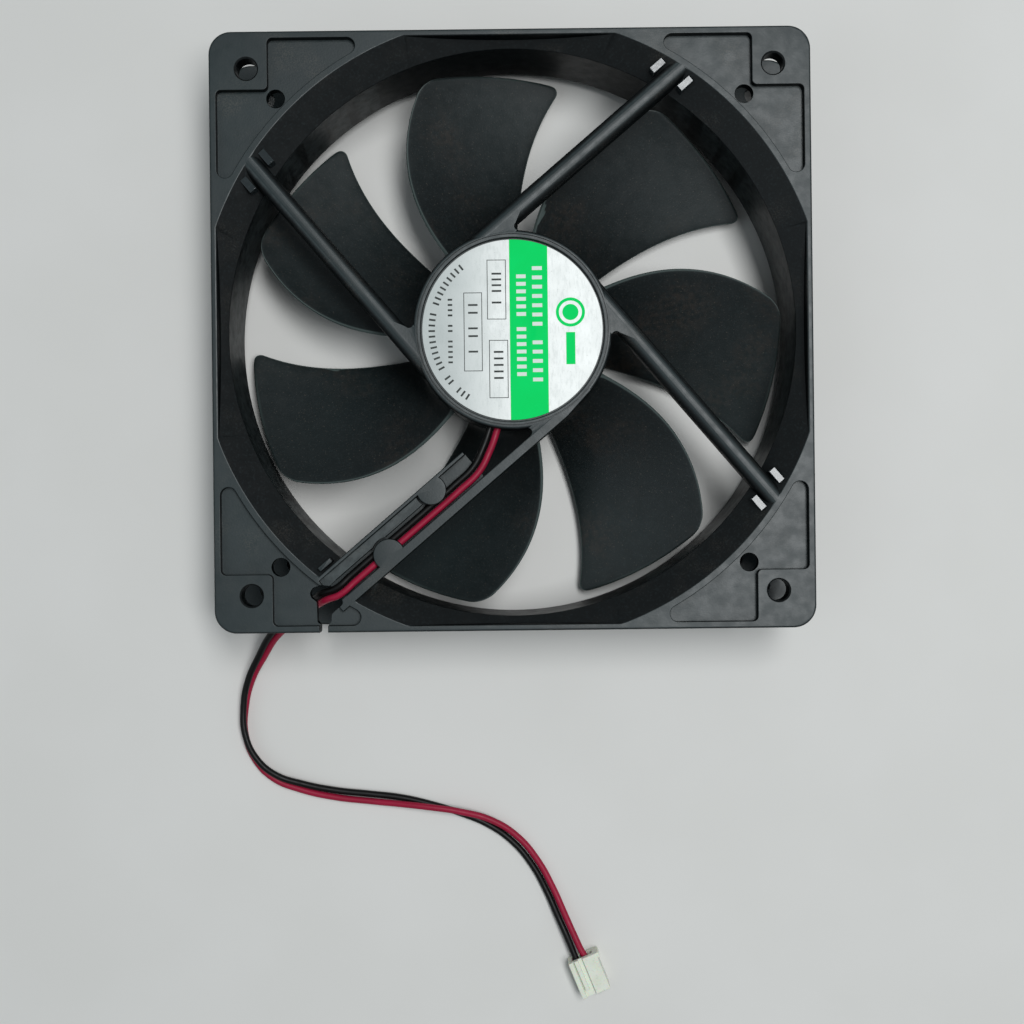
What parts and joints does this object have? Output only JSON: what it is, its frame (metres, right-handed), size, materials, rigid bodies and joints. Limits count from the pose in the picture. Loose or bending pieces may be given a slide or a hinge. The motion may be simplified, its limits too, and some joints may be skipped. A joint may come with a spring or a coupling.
{
  "type": "case fan",
  "caption": "Square axial case fan with swept blades on a brushless motor, angled struts, a round label and a two-wire lead ending in a small white plug.",
  "frame": {"origin": "centre of the intake face, on which the fan lies, on the rotor's axis", "axes": "+Z along the rotor's axis towards the outlet face with the struts, X and Y along the sides of the square frame, the lead leaving on the -Y side"},
  "size_m": [0.12, 0.2009, 0.025],
  "materials": {
    "frame_plastic": "fine-grained moulded surface with dust",
    "impeller_plastic": "fine-grained moulded surface with dust",
    "label_paper": "printed film label in silver, white and green",
    "cap_rubber": "soft black rubber",
    "bush_bronze": "sintered bronze",
    "oil_felt": "pressed felt",
    "washer_nylon": "natural nylon",
    "core_steel": "stacked electrical steel",
    "former_nylon": "natural nylon",
    "enamelled_copper": "enamelled copper wire",
    "board_green": "glass-fibre board with green solder mask",
    "chip_black": "moulded epoxy",
    "capacitor_ceramic": "brown ceramic body",
    "yoke_steel": "plated steel",
    "ferrite": "flexible bonded ferrite",
    "boss_brass": "turned brass",
    "shaft_steel": "ground and polished steel",
    "clip_steel": "spring steel",
    "red_insulation": "red PVC insulation",
    "black_insulation": "black PVC insulation",
    "plug_nylon": "natural white nylon",
    "terminal_tin": "tin-plated phosphor bronze"
  },
  "bodies": {
    "housing": {"frame": "frame_plastic", "label": "label_paper", "bearing_cap": "cap_rubber", "sleeve_bearing": "bush_bronze", "oil_felt": "oil_felt", "thrust_washer": "washer_nylon", "stator_core": "core_steel", "upper_winding_former": "former_nylon", "lower_winding_former": "former_nylon", "coil_1": "enamelled_copper", "coil_2": "enamelled_copper", "coil_3": "enamelled_copper", "coil_4": "enamelled_copper", "circuit_board": "board_green", "hall_sensor": "chip_black", "driver_chip": "chip_black", "protection_diode": "chip_black", "capacitor": "capacitor_ceramic", "lead_red": "red_insulation", "lead_black": "black_insulation", "connector_housing": "plug_nylon", "terminal_red": "terminal_tin", "terminal_black": "terminal_tin"},
    "rotor": {"impeller": "impeller_plastic", "rotor_yoke": "yoke_steel", "ring_magnet": "ferrite", "shaft_boss": "boss_brass", "shaft": "shaft_steel", "retaining_clip": "clip_steel"}
  },
  "joints": [
    {"name": "rotor_spin", "type": "hinge", "parent": "housing", "child": "rotor", "pos_m": [0, 0, 0.015], "axis": [0, 0, 1], "continuous": true}
  ]
}
